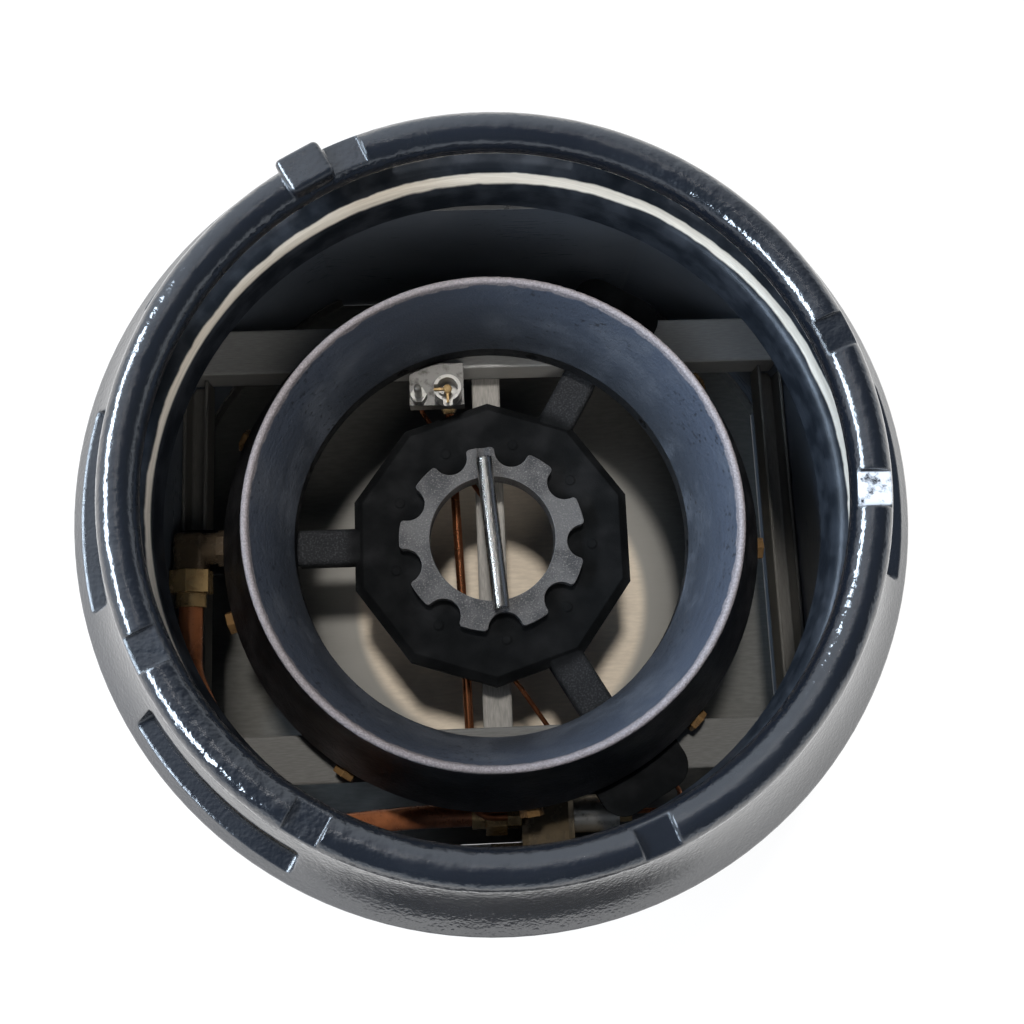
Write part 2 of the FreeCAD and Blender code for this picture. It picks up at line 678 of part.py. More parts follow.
def make_star():
    plate = cylinder(STAR_R, STAR_H, V(0, 0, HUB_TOP))
    plate = plate.cut([cylinder(SCALLOP_R, STAR_H, at + Z * HUB_TOP) for at in scallop_places()])
    tips = [e for e in plate.Edges if e.BoundBox.ZLength > STAR_H - 1 and e.Vertexes[0].Point.Length > STAR_R]
    plate = plate.makeFillet(STAR_EDGE, tips)
    spigot_r = HUB_BORE_R - RUN_GAP
    plate = plate.fuse(cylinder(spigot_r, SPIGOT_H, V(0, 0, HUB_TOP - SPIGOT_H)))
    cuts = [cylinder(STAR_BORE_R, STAR_H + SPIGOT_H, V(0, 0, HUB_TOP - SPIGOT_H))]
    cuts.append(lift_bar(BAR_R + THREAD_GAP, BAR_L + 2 * STAR_R))
    return plate.cut(cuts).removeSplitter()


def make_elbow():
    corner = V(-ELBOW_X, 0, JET_Z)
    mouth = corner - Y * ELBOW_REACH
    block = Part.makeBox(2 * ELBOW_R, ELBOW_REACH + ELBOW_R, 2 * ELBOW_R, mouth - V(ELBOW_R, 0, ELBOW_R))
    block = block.makeFillet(ELBOW_EDGE, [e for e in block.Edges if e.BoundBox.YMax > mouth.y + 1])
    neck = cylinder(ELBOW_R, ELBOW_OUT, corner, X)
    collar = hexagon(ELBOW_HEX_AF, ELBOW_HEX_L, corner + X * (ELBOW_OUT - ELBOW_HEX_L), X, 30)
    spigot = cylinder(ELBOW_SPIGOT_R, GALLERY_WALL, corner + X * ELBOW_OUT, X)
    body = block.fuse([neck, collar, spigot])
    bores = [cylinder(ELBOW_BORE_R, ELBOW_OUT + GALLERY_WALL, corner, X),
             cylinder(ELBOW_BORE_R, ELBOW_REACH, mouth, Y), Part.makeSphere(ELBOW_BORE_R, corner)]
    return body.cut(bores).removeSplitter()


def fitting(base, axis):
    """Compression nut and its sleeve on the gas pipe, from a fitting's mouth outwards."""
    hole_r = PIPE_R + THREAD_GAP
    sleeve_at = base + axis * FITTING_NUT_L
    sleeve = cylinder(SLEEVE_R, SLEEVE_L, sleeve_at, axis)
    sleeve = sleeve.cut(cylinder(hole_r, SLEEVE_L, sleeve_at, axis))
    return nut(FITTING_AF, FITTING_NUT_L, hole_r, base, axis, 30), sleeve


def inlet_y():
    return (ROTOR_FRONT + ROTOR_BACK) / 2


def outlet_y():
    return TAP_FRONT + TAP_FLANGE_T + OUTLET_Y


def outlet_mouth():
    return V(TAP_X - TAP_W / 2 - OUTLET_L, outlet_y(), OUTLET_Z)


def gas_pipe_route():
    start = V(-ELBOW_X, -ELBOW_REACH, JET_Z)
    end = outlet_mouth()
    bend_r = DRUM_IN_R - PIPE_OFF_WALL
    first = V(-ELBOW_X, -math.sqrt(bend_r ** 2 - ELBOW_X ** 2), JET_Z)
    second = polar(DRUM_IN_R - 2 * PIPE_R, PIPE_TURN, JET_Z)
    third = V(PIPE_FRONT_X, end.y, JET_Z - PIPE_SAG)
    return [start, first, second, third, V(PIPE_DROP_X, end.y, end.z), end]


def pilot_port():
    return V(TAP_X - TAP_W / 2, outlet_y(), TAP_Z + TAP_H / 2 - SMALL_AF / 2)


def magnet_base():
    return V(TAP_X + TAP_W / 2, inlet_y(), TAP_Z)


def d_bar(r, flat, length, base):
    """Round bar along +Y with one flat on its upper side."""
    bar = cylinder(r, length, base, Y)
    return bar.cut(box(base.x - r, base.x + r, base.y, base.y + length, base.z + flat, base.z + r))


def make_tap_body():
    flange_back = TAP_FRONT + TAP_FLANGE_T
    half = TAP_W / 2
    low, high = TAP_Z - TAP_H / 2, TAP_Z + TAP_H / 2
    body = box(TAP_X - half, TAP_X + half, flange_back, TAP_BACK, low, high)
    along = [e for e in body.Edges if abs(e.tangentAt(e.FirstParameter).y) > 0.9]
    body = body.makeChamfer(TAP_FLANGE_T, along)
    body = body.fuse(box(TAP_X - TAP_FLANGE_W / 2, TAP_X + TAP_FLANGE_W / 2, TAP_FRONT, flange_back,
                         TAP_Z - TAP_FLANGE_H / 2, TAP_Z + TAP_FLANGE_H / 2))
    body = body.fuse(cylinder(OUTLET_R, OUTLET_L, outlet_mouth(), X))
    axis_end = V(TAP_X, TAP_FRONT, TAP_Z)
    cuts = [cylinder(TAP_BORE_R, ROTOR_BACK + RUN_GAP - TAP_FRONT, axis_end, Y),
            cylinder(BONNET_R + THREAD_GAP, TAP_FLANGE_T, axis_end, Y),
            cylinder(ELBOW_BORE_R, TAP_W / 2 + OUTLET_L, outlet_mouth(), X),
            cylinder(INLET_NECK_R + THREAD_GAP, INLET_THREAD, V(TAP_X, inlet_y(), TAP_Z - TAP_H / 2)),
            cylinder(INLET_BORE_R, TAP_H / 2, V(TAP_X, inlet_y(), TAP_Z - TAP_H / 2))]
    for side in (-1, 1):
        at = V(TAP_X + side * TAP_SCREW_X, TAP_FRONT, TAP_Z)
        cuts.append(cylinder(TAP_SCREW_R + THREAD_GAP, TAP_FLANGE_T, at, Y))
    return body.cut(cuts).removeSplitter()


def make_bonnet():
    disc = cylinder(BONNET_R, TAP_FLANGE_T, V(TAP_X, TAP_FRONT, TAP_Z), Y)
    return disc.cut(cylinder(SPINDLE_R + 2 * RUN_GAP, TAP_FLANGE_T, V(TAP_X, TAP_FRONT, TAP_Z), Y))


def make_rotor():
    rotor = cylinder(TAP_BORE_R - RUN_GAP, PLUG_ROTOR_L, V(TAP_X, ROTOR_FRONT, TAP_Z), Y)
    shaft = d_bar(SPINDLE_R + SPINDLE_GAP, SPINDLE_FLAT + SPINDLE_GAP, SPINDLE_IN + PUSH + RUN_GAP,
                  V(TAP_X, ROTOR_FRONT, TAP_Z))
    pocket_y = ROTOR_FRONT + SPINDLE_IN + PUSH + RUN_GAP
    pocket_r = SPRING_R + SPRING_WIRE_R + RUN_GAP
    pocket = cylinder(pocket_r, ROTOR_BACK - ROTOR_END - pocket_y, V(TAP_X, pocket_y, TAP_Z), Y)
    port = cylinder(ROTOR_PORT_R, TAP_BORE_R, V(TAP_X, inlet_y(), TAP_Z), -Z)
    return rotor.cut([shaft, pocket, port])


def make_spring():
    """Return spring at its pressed length, coiled from quarter-turn arcs."""
    start_y = ROTOR_FRONT + SPINDLE_IN + PUSH + 2 * RUN_GAP + SPRING_WIRE_R

    def at(turns):
        a = 2 * math.pi * turns
        x, z = TAP_X + SPRING_R * math.cos(a), TAP_Z + SPRING_R * math.sin(a)
        return V(x, start_y + SPRING_PITCH * turns, z)

    quarters = [i / 4 for i in range(4 * SPRING_TURNS)]
    path = Part.Wire([Part.Arc(at(t), at(t + 0.125), at(t + 0.25)).toShape() for t in quarters])
    first = path.OrderedEdges[0]
    section = Part.Wire(Part.makeCircle(SPRING_WIRE_R, at(0), first.tangentAt(first.FirstParameter)))
    return path.makePipeShell([section], True, False)


def knob_back():
    return -PANEL_Y - KNOB_GAP


def make_spindle():
    front = knob_back() - KNOB_L / 2
    return d_bar(SPINDLE_R, SPINDLE_FLAT, ROTOR_FRONT + SPINDLE_IN - front, V(TAP_X, front, TAP_Z))


def make_knob():
    back = knob_back()
    front = back - KNOB_L
    body = Part.makeCone(KNOB_R, KNOB_R * 0.92, KNOB_L, V(TAP_X, back, TAP_Z), -Y)
    for side in (-1, 1):
        x0 = TAP_X + side * KNOB_GRIP_W / 2
        x1 = TAP_X + side * KNOB_R * 1.1
        body = body.cut(box(min(x0, x1), max(x0, x1), front, front + KNOB_GRIP_DEPTH,
                            TAP_Z - KNOB_R, TAP_Z + KNOB_R))
    depth = KNOB_L / 2
    socket = d_bar(SPINDLE_R + THREAD_GAP, SPINDLE_FLAT + THREAD_GAP, depth, V(TAP_X, back - depth, TAP_Z))
    return body.cut(socket).removeSplitter()


def make_tap_screws():
    screws = []
    for side in (-1, 1):
        at = V(TAP_X + side * TAP_SCREW_X, -PANEL_Y, TAP_Z)
        shank = cylinder(TAP_SCREW_R, SHEET + TAP_FLANGE_T, at, Y)
        screws.append(shank.fuse(cylinder(TAP_SCREW_HEAD_R, TAP_SCREW_HEAD, at, -Y)).removeSplitter())
    return screws


def make_inlet():
    low = FOOT_H - INLET_TAIL
    high = TAP_Z - TAP_H / 2 + INLET_THREAD
    at = V(TAP_X, inlet_y(), low)
    tube = cylinder(INLET_R, INLET_TAIL, at)
    tube = tube.fuse(hexagon(INLET_AF, INLET_NUT_H, at + Z * (INLET_TAIL - INLET_NUT_H), Z))
    tube = tube.fuse(cylinder(INLET_NECK_R, high - FOOT_H, at + Z * INLET_TAIL))
    tube = tube.cut(cylinder(INLET_BORE_R, high - low, at))
    locknut = nut(INLET_AF, INLET_NUT_H, INLET_NECK_R + THREAD_GAP, V(TAP_X, inlet_y(), FLOOR_TOP), Z)
    return tube.removeSplitter(), locknut


def make_bracket():
    face = RAIL_Y - RAIL_W / 2
    left, right, front = PILOT_BRACKET_L, PILOT_BRACKET_R, PILOT_TAB_IN
    top = PILOT_TAB_Z + SHEET
    tab = box(left, right, front, face, PILOT_TAB_Z, top)
    tab = tab.fuse(box(left, right, front, front + SHEET, top - PILOT_LIP_H, top))
    tab = tab.fuse(box(right - SHEET, right, front, PILOT_Y + HOOD_R, top - PILOT_LIP_H, top))
    tab = tab.fuse(box(PILOT_LEG_L, right, face - SHEET, face, RAIL_TOP, top))
    tab = tab.common(cylinder(GALLERY_IN_R - 2 * SHEET, 2 * PILOT_TAB_Z))
    leg = box(PILOT_LEG_L, right, face - SHEET, face, PILOT_LEG_LOW, RAIL_TOP)
    holes = [cylinder(PILOT_STEM_R + THREAD_GAP, 3 * SHEET, V(PILOT_X, PILOT_Y, PILOT_TAB_Z - SHEET)),
             cylinder(COUPLE_R + THREAD_GAP, 3 * SHEET, V(COUPLE_X, COUPLE_Y, PILOT_TAB_Z - SHEET))]
    holes += [cylinder(BRACKET_SCREW_R + THREAD_GAP, 3 * SHEET, V(x, face - 2 * SHEET, BRACKET_SCREW_Z), Y)
              for x in BRACKET_SCREW_X]
    return tab.fuse(leg).cut(holes).removeSplitter()


def make_bracket_screws():
    face = RAIL_Y - RAIL_W / 2
    screws = []
    for x in BRACKET_SCREW_X:
        at = V(x, face - SHEET, BRACKET_SCREW_Z)
        shank = cylinder(BRACKET_SCREW_R, SHEET + 2 * RAIL_WALL, at, Y)
        screws.append(shank.fuse(cylinder(BRACKET_SCREW_HEAD_R, BRACKET_SCREW_HEAD, at, -Y)))
    return [s.removeSplitter() for s in screws]


def make_pilot():
    at = V(PILOT_X, PILOT_Y, 0)
    neck_r = PILOT_TIP_R - PILOT_STEM_WALL / 2
    stem = cylinder(PILOT_STEM_R, HOOD_LOW - PILOT_STEM_LOW, at + Z * PILOT_STEM_LOW)
    bore = cylinder(PILOT_STEM_R - PILOT_STEM_WALL, HOOD_LOW - PILOT_STEM_WALL - PILOT_STEM_LOW,
                             at + Z * PILOT_STEM_LOW)
    tip_z = HOOD_TOP - PILOT_TIP_R
    neck = cylinder(neck_r, tip_z - HOOD_LOW, at + Z * HOOD_LOW)
    tip = Part.makeSphere(PILOT_TIP_R, at + Z * tip_z)
    half = TONGUE_W / 2
    front = box(PILOT_X - half, PILOT_X + half, PILOT_Y - HOOD_R, PILOT_Y, tip_z - TONGUE_W, tip_z)
    side = box(PILOT_X - HOOD_R, PILOT_X, PILOT_Y - half, PILOT_Y + half, tip_z - TONGUE_W, tip_z)
    stem = stem.cut(bore).fuse([neck, tip, front, side]).removeSplitter()

    floor = HOOD_LOW + HOOD_FLOOR
    hood = cylinder(HOOD_R, HOOD_TOP - HOOD_LOW, at + Z * HOOD_LOW)
    half_front, half_side = HOOD_FRONT_W / 2, HOOD_SIDE_W / 2
    cuts = [cylinder(HOOD_R - HOOD_WALL, HOOD_TOP - floor, at + Z * floor),
            cylinder(neck_r + THREAD_GAP, HOOD_TOP, at),
            box(PILOT_X - half_front, PILOT_X + half_front, PILOT_Y - HOOD_R, PILOT_Y, floor, HOOD_TOP),
            box(PILOT_X - HOOD_R, PILOT_X, PILOT_Y - half_side, PILOT_Y + half_side, floor, HOOD_TOP)]
    return stem, hood.cut(cuts).removeSplitter()


def make_thermocouple():
    at = V(COUPLE_X, COUPLE_Y, 0)
    seat = PILOT_TAB_Z + SHEET
    body = cylinder(COUPLE_R, seat - COUPLE_LOW, at + Z * COUPLE_LOW)
    body = body.fuse(hexagon(COUPLE_AF, COUPLE_HEX_H, at + Z * seat, Z))
    rod_z = seat + COUPLE_HEX_H
    body = body.fuse(cylinder(COUPLE_TIP_R, COUPLE_TIP_Z - COUPLE_TIP_R - rod_z, at + Z * rod_z))
    return body.fuse(Part.makeSphere(COUPLE_TIP_R, at + Z * (COUPLE_TIP_Z - COUPLE_TIP_R))).removeSplitter()


def pilot_tube_route():
    end = pilot_port() - X * SMALL_NUT_L
    under = RAIL_TOP - RAIL_H - 2 * PILOT_TUBE_R
    top = V(PILOT_X, PILOT_Y, PILOT_STEM_LOW)
    return [top, V(PILOT_X, PILOT_Y, under + 4), V(PILOT_X + 5, -40, under + 1), V(PILOT_X + 7, -128, under),
            V(PILOT_X + 7, end.y, end.z), end]


def lead_route():
    mouth = magnet_base() + X * (MAGNET_L + SMALL_NUT_L)
    over = RAIL_TOP - RAIL_H + LEAD_R + WELD_GAP
    under = RAIL_TOP - RAIL_H - 4 * LEAD_R
    return [V(COUPLE_X, COUPLE_Y, COUPLE_LOW), V(COUPLE_X, COUPLE_Y, over), V(-2, 30, over), V(4, -78, over),
            V(16, -94, over), V(40, -130, under), V(mouth.x, -158, under), V(mouth.x + 32, -159, TAP_Z + 11),
            V(mouth.x + 32, mouth.y, TAP_Z), mouth]


def main():
    os.makedirs("parts", exist_ok=True)
    export("drum", make_drum())
    export("floor_pan", make_floor())
    feet, foot_nuts = make_feet()
    export("feet", *feet)
    export("foot_nuts", *foot_nuts)
    export("collar", make_collar())
    export("wok_ring", make_wok_ring())
    export("back_rail", make_rail(1))
    export("front_rail", make_rail(-1))
    export("left_channel", make_channel(-1))
    export("right_channel", make_channel(1))
    export("centre_strip", make_strip())
    export("burner_body", make_burner())
    jets, plugs = make_jets()
    export("gas_jets", *jets)
    export("jet_plugs", *plugs)
    export("burner_bolts", *make_burner_bolts())
    export("flame_guard", make_guard())
    export("star_cap", make_star())
    export("lift_bar", lift_bar(BAR_R, BAR_L))
    export("gas_elbow", make_elbow())
    elbow_nut, elbow_sleeve = fitting(V(-ELBOW_X, -ELBOW_REACH, JET_Z), -Y)
    outlet_nut, outlet_sleeve = fitting(outlet_mouth(), -X)
    export("pipe_nuts", elbow_nut, outlet_nut)
    export("pipe_sleeves", elbow_sleeve, outlet_sleeve)
    export("gas_pipe", pipe(gas_pipe_route(), PIPE_R, PIPE_WALL, PIPE_BEND_R))
    export("tap_body", make_tap_body())
    export("tap_bonnet", make_bonnet())
    export("tap_screws", *make_tap_screws())
    export("tap_rotor", make_rotor())
    export("tap_spring", make_spring())
    export("tap_spindle", make_spindle())
    export("knob", make_knob())
    inlet, inlet_nut = make_inlet()
    export("gas_inlet", inlet)
    export("inlet_nut", inlet_nut)
    export("safety_magnet", cylinder(MAGNET_R, MAGNET_L, magnet_base(), X))
    lead_nut = nut(SMALL_AF, SMALL_NUT_L, LEAD_R + THREAD_GAP, magnet_base() + X * MAGNET_L, X)
    export("lead_nut", lead_nut)
    export("thermocouple", make_thermocouple())
    export("thermocouple_lead", rod(lead_route(), LEAD_R, LEAD_BEND_R))
    export("pilot_bracket", make_bracket())
    export("bracket_screws", *make_bracket_screws())
    stem, hood = make_pilot()
    export("pilot_burner", stem)
    export("pilot_hood", hood)
    stem_nut = nut(SMALL_AF, SMALL_NUT_L, PILOT_TUBE_R + THREAD_GAP, V(PILOT_X, PILOT_Y, PILOT_STEM_LOW), -Z)
    port_nut = nut(SMALL_AF, SMALL_NUT_L, PILOT_TUBE_R + THREAD_GAP, pilot_port(), -X)
    export("pilot_nuts", stem_nut, port_nut)
    export("pilot_tube", rod(pilot_tube_route(), PILOT_TUBE_R, PILOT_BEND_R))


main()
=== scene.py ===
"""Wok burner, looked at from above into its ring: finishes, small details, studio and camera."""
import bmesh
import bpy
import math
from mathutils import Matrix, Vector


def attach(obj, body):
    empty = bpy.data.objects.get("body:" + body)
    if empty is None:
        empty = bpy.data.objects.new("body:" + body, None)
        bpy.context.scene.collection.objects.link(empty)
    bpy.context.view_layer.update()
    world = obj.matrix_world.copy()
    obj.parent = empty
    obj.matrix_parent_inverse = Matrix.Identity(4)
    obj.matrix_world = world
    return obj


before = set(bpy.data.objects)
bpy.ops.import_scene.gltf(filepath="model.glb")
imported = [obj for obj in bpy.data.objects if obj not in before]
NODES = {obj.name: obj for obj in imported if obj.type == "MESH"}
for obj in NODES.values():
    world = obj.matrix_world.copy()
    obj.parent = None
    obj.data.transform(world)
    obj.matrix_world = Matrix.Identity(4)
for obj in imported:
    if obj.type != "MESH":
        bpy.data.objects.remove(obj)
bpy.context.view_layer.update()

# Places on the part, in metres and degrees
TAP_X = 0.030
TAP_Z = 0.095
PANEL_Y = -0.200
BACK_Y = 0.205
KNOB_FACE_Y = -0.2225
FOOT_CIRCLE_R = 0.188
FOOT_COUNT = 4
FOOT_TURN = 45.0
INLET_PLACE = (0.030, -0.1762)
# Where the painted reflection on the bead's notch lies across
REFLECTION_SEAT_Y = -0.0126
# Centre of the floor's painted pool of light
LIT_POOL_PLACE = (0.008, -0.029)
# Centre of the collar's strip of painted light
LIT_BAND_PLACE = (0.004, -0.0005)

# Where a finish fades in, from its first number to its second, in metres
SKIRT_R_FADE = (0.189, 0.196)
# Painted reflection on the bead's notch at the right
REFLECTION_SIDE_FADE = (0.0088, 0.0074)
REFLECTION_X_FADE = (0.1690, 0.1715)
REFLECTION_Z_FADE = (0.3352, 0.3360)
GUARD_Z_FADE = (0.158, 0.236)
GUARD_RIM_FADE = (0.2312, 0.2326)
ARMS_IN_FADE = (0.088, 0.098)
ARMS_OUT_FADE = (0.130, 0.122)
# Edge and penumbra of the floor's painted pool of light
LIT_POOL_EDGE_FADE = (0.099, 0.109)
LIT_POOL_PENUMBRA_FADE = (0.102, 0.155)
# Strip of painted light along the collar's roll
LIT_BAND_IN_FADE = (0.1830, 0.1840)
LIT_BAND_OUT_FADE = (0.1886, 0.1876)
LIT_BAND_Z_FADE = (0.2690, 0.2705)
CLEAN_R_FADE = (0.199, 0.204)

# Small details, in metres and degrees
SUNK = 0.0002
PRINT_T = 0.0001
PRINT_R = 0.040
DOT_R = 0.0021
DOT_SIDES = 24
POINTER_HALF_W = 0.0012
POINTER_START = 0.0050
POINTER_EDGE = 0.0002
WEDGE_START, WEDGE_TURN = 80.0, 100.0
WEDGE_STEPS = 40
WEDGE_WIDE, WEDGE_TAPER = 0.0026, 0.0021
WELD_LOW, WELD_LENGTH = 0.043, 0.149
WELD_STEPS = 300
WELD_RIPPLE_STEPS = 5.0
WELD_HALF_W, WELD_H = 0.0014, 0.0004
WELD_RIPPLE = 0.0003
WELD_LAG = 0.0006
WELD_SIDES = 8
THREAD_DEPTH = 0.0004
THREAD_STEPS = 36
THREAD_RUN_OUT = 9.0
THREAD_ROOT_SHARE, THREAD_CREST_SHARE = 0.46, 0.06
STUD_R, STUD_LOW, STUD_HIGH, STUD_PITCH = 0.005, 0.0115, 0.0318, 0.0015
INLET_R, INLET_LOW, INLET_HIGH, INLET_PITCH = 0.0105, 0.0135, 0.0325, 0.0018

# Studio and camera, in metres, watts and pixels
FLOOR_HALF_W = 6.0
FLOOR_WHITE = 0.88
ONLOOKER_Y = -0.75
ONLOOKER_W, ONLOOKER_D = 0.45, 0.32
WORLD_STRENGTH = 0.42
CARD_TURN = -0.8
KEY_PLACE = (-0.06, 0.48, 2.04)
KEY_TARGET = (0.0, 0.0, 0.04)
CAMERA_PLACE = (-0.016, -0.115, 0.8437)
CAMERA_RIGHT = (0.9986, -0.04031, 0.03439)
CAMERA_UP = (0.03313, 0.98149, 0.18863)
CAMERA_BACK = (-0.04135, -0.18722, 0.98145)
SENSOR_W = 36.0
FOCAL_PX = 1100.0
PHOTO_PX = 1024.0


class Nodes:
    """A node tree. Numbers and colours go on sockets, sockets get linked."""

    def __init__(self, tree):
        self.tree = tree

    def add(self, kind, settings=(), **values):
        node = self.tree.nodes.new("ShaderNode" + kind)
        for key, value in dict(settings).items():
            setattr(node, key, value)
        for key, value in values.items():
            self.feed(node.inputs[key], value)
        return node

    def feed(self, socket, value):
        if isinstance(value, bpy.types.NodeSocket):
            self.tree.links.new(value, socket)
        elif socket.type == "RGBA":
            socket.default_value = (*value, 1.0)
        else:
            socket.default_value = value

    def fill(self, node, values):
        """Feed a node's first sockets in their order, and return its first output."""
        for socket, value in zip(node.inputs, values):
            self.feed(socket, value)
        return node.outputs[0]

    def math(self, operation, a, b=0.0):
        return self.fill(self.add("Math", {"operation": operation}), (a, b))

    def times(self, a, b):
        return self.math("MULTIPLY", a, b)

    def fit(self, value, low, high, new_low=0.0, new_high=1.0):
        """Take a value smoothly from one range to another."""
        node = self.add("MapRange", {"interpolation_type": "SMOOTHSTEP"})
        return self.fill(node, (value, low, high, new_low, new_high))

    def blend(self, amount, first, second, output):
        """Show the first shader, or the second where the amount is 1."""
        mixed = self.fill(self.add("MixShader"), (amount, first, second))
        self.feed(self.tree.nodes[output].inputs["Surface"], mixed)


class Finish(Nodes):
    """A procedural material, placed by the object's own coordinates."""

    def __init__(self, name):
        self.material = bpy.data.materials.new(name)
        self.material.use_nodes = True
        super().__init__(self.material.node_tree)
        self.shader = self.tree.nodes["Principled BSDF"]
        self.place = self.add("TexCoord").outputs["Object"]
        self.x, self.y, self.z = self.add("SeparateXYZ", Vector=self.place).outputs
        self.normal = None

    def set(self, **values):
        for key, value in values.items():
            self.feed(self.shader.inputs[key.replace("_", " ")], value)

    def noise(self, scale, detail=3.0, rough=0.5, at=None):
        node = self.add("TexNoise", Vector=at or self.place, Scale=scale, Detail=detail, Roughness=rough)
        return node.outputs["Fac"]

    def cells(self, scale):
        return self.add("TexVoronoi", Vector=self.place, Scale=scale).outputs["Distance"]

    def mix(self, amount, first, second):
        node = self.add("Mix", {"data_type": "RGBA"})
        for index, value in ((0, amount), (6, first), (7, second)):
            self.feed(node.inputs[index], value)
        return node.outputs[2]

    def dot(self, first, second):
        node = self.add("VectorMath", {"operation": "DOT_PRODUCT"})
        self.fill(node, (first, second))
        return node.outputs["Value"]

    def joined(self, x, y, z):
        return self.add("CombineXYZ", X=x, Y=y, Z=z).outputs[0]

    def away(self, x=0.0, y=0.0, wide=1.0, deep=1.0):
        """Distance from an upright axis, in shares of a width and a depth."""
        across = self.math("DIVIDE", self.math("SUBTRACT", self.x, x), wide)
        ahead = self.math("DIVIDE", self.math("SUBTRACT", self.y, y), deep)
        return self.math("SQRT", self.math("ADD", self.times(across, across), self.times(ahead, ahead)))

    def angle(self):
        """Angle round the part's axis."""
        return self.math("ARCTAN2", self.y, self.x)

    def rounded(self, radius):
        """Soften hard edges in the shading, and give the mask of where they are."""
        self.normal = self.add("Bevel", {"samples": 6}, Radius=radius).outputs[0]
        flat = self.add("NewGeometry").outputs["Normal"]
        return self.fit(self.dot(self.normal, flat), 0.99, 0.82)

    def bump(self, height, depth, strength=1.0):
        node = self.add("Bump", Height=height, Distance=depth, Strength=strength)
        if self.normal:
            self.feed(node.inputs["Normal"], self.normal)
        self.normal = node.outputs[0]
        self.feed(self.shader.inputs["Normal"], self.normal)

    def outward(self):
        """1 on faces that look away from the axis, 0 on faces that look towards it."""
        level = self.joined(self.x, self.y, 0.0)
        normal = self.add("NewGeometry").outputs["Normal"]
        return self.fit(self.dot(level, normal), -0.004, 0.004)


def enamel():
    """Glossy black enamel, with a painted bluish reflection on the bead's notch at the right."""
    f = Finish("enamel")
    edge = f.rounded(0.0022)
    skirt = f.fit(f.away(), *SKIRT_R_FADE)
    # Painted reflection: a bright bluish patch on the notch at the right of the bead, standing for a
    # window's reflection
    beside = f.math("ABSOLUTE", f.math("SUBTRACT", f.y, REFLECTION_SEAT_Y))
    painted_reflection = f.times(f.fit(beside, *REFLECTION_SIDE_FADE), f.fit(f.x, *REFLECTION_X_FADE))
    painted_reflection = f.times(painted_reflection, f.fit(f.z, *REFLECTION_Z_FADE))
    painted_reflection = f.times(painted_reflection, f.fit(f.noise(160.0, 5.0, 0.7), 0.34, 0.54))
    tone = f.mix(f.noise(9.0, 4.0), (0.0025, 0.0035, 0.006), (0.008, 0.011, 0.017))
    tone = f.mix(f.times(edge, 0.35), tone, (0.03, 0.034, 0.042))
    # The bluish colour here is the painted reflection
    f.set(Base_Color=f.mix(painted_reflection, tone, (0.50, 0.55, 0.63)),
          Roughness=f.fit(f.noise(26.0, 4.0), 0.3, 0.75, 0.16, 0.34), Specular_IOR_Level=0.3,
          Coat_Weight=1.0, Coat_Roughness=0.03, Coat_IOR=1.85)
    f.bump(f.noise(34.0, 2.0), 0.0012, f.fit(skirt, 0.0, 1.0, 0.6, 0.12))
    patchy = f.fit(f.noise(6.0), 0.35, 0.7, 0.35, 1.0)
    f.bump(f.noise(150.0, 2.0), 0.00075, f.times(patchy, f.fit(skirt, 0.0, 1.0, 1.0, 0.3)))
    f.bump(f.noise(520.0, 1.0), 0.00022, 0.6)
    f.feed(f.shader.inputs["Coat Normal"], f.normal)
    return f


def guard_iron():
    """Heat-blued iron with pits inside, black outside, worn light along the rim."""
    f = Finish("guard_iron")
    f.rounded(0.0012)
    grain = f.noise(900.0, 2.0)
    mottle = f.noise(22.0, 5.0, 0.6)
    rings = f.noise(1.0, 4.0, 0.6, f.joined(f.times(f.angle(), 2.2), 0.0, f.times(f.z, 190.0)))
    inner = f.mix(f.fit(f.z, *GUARD_Z_FADE), (0.026, 0.031, 0.040), (0.052, 0.064, 0.090))
    inner = f.mix(f.fit(mottle, 0.45, 0.70, 0.0, 0.8), inner, (0.078, 0.088, 0.108))
    inner = f.mix(f.fit(rings, 0.35, 0.8, 0.0, 0.4), inner, (0.030, 0.035, 0.046))
    pits = f.times(f.fit(f.noise(310.0, 3.0), 0.58, 0.68), f.fit(f.noise(17.0, 3.0), 0.42, 0.6))
    inner = f.mix(f.times(pits, 0.8), inner, (0.010, 0.010, 0.012))
    outer = f.mix(f.fit(f.noise(60.0, 5.0), 0.4, 0.75), (0.006, 0.006, 0.007), (0.022, 0.022, 0.024))
    body = f.mix(f.outward(), inner, outer)
    worn = f.mix(f.fit(grain, 0.35, 0.7), (0.15, 0.138, 0.148), (0.235, 0.218, 0.232))
    uneven = f.fit(f.noise(120.0, 4.0), 0.3, 0.7, -0.0010, 0.0010)
    rim = f.fit(f.math("ADD", f.z, uneven), *GUARD_RIM_FADE)
    f.set(Base_Color=f.mix(rim, body, worn), Roughness=f.fit(mottle, 0.3, 0.7, 0.5, 0.7))
    f.bump(f.noise(60.0, 5.0, 0.6), 0.0013, 0.6)
    f.bump(f.noise(340.0, 3.0), 0.0006, 0.7)
    f.bump(grain, 0.00035, 0.8)
    return f


def soot_iron():
    """Sooted iron, with barer grain on the arms."""
    f = Finish("soot_iron")
    f.rounded(0.0015)
    grain = f.noise(820.0, 2.0)
    soot = f.mix(f.fit(f.noise(40.0, 5.0), 0.4, 0.75), (0.0036, 0.004, 0.0044), (0.010, 0.0105, 0.0115))
    bare = f.mix(f.fit(grain, 0.45, 0.72), (0.016, 0.017, 0.019), (0.040, 0.042, 0.046))
    away = f.away()
    arms = f.times(f.fit(away, *ARMS_IN_FADE), f.fit(away, *ARMS_OUT_FADE))
    f.set(Base_Color=f.mix(f.times(arms, 0.75), soot, bare),
          Roughness=f.fit(f.noise(90.0), 0.3, 0.7, 0.6, 0.85), Specular_IOR_Level=0.12)
    f.bump(f.noise(110.0, 4.0), 0.0006, 0.5)
    f.bump(grain, 0.0003, 0.7)
    return f


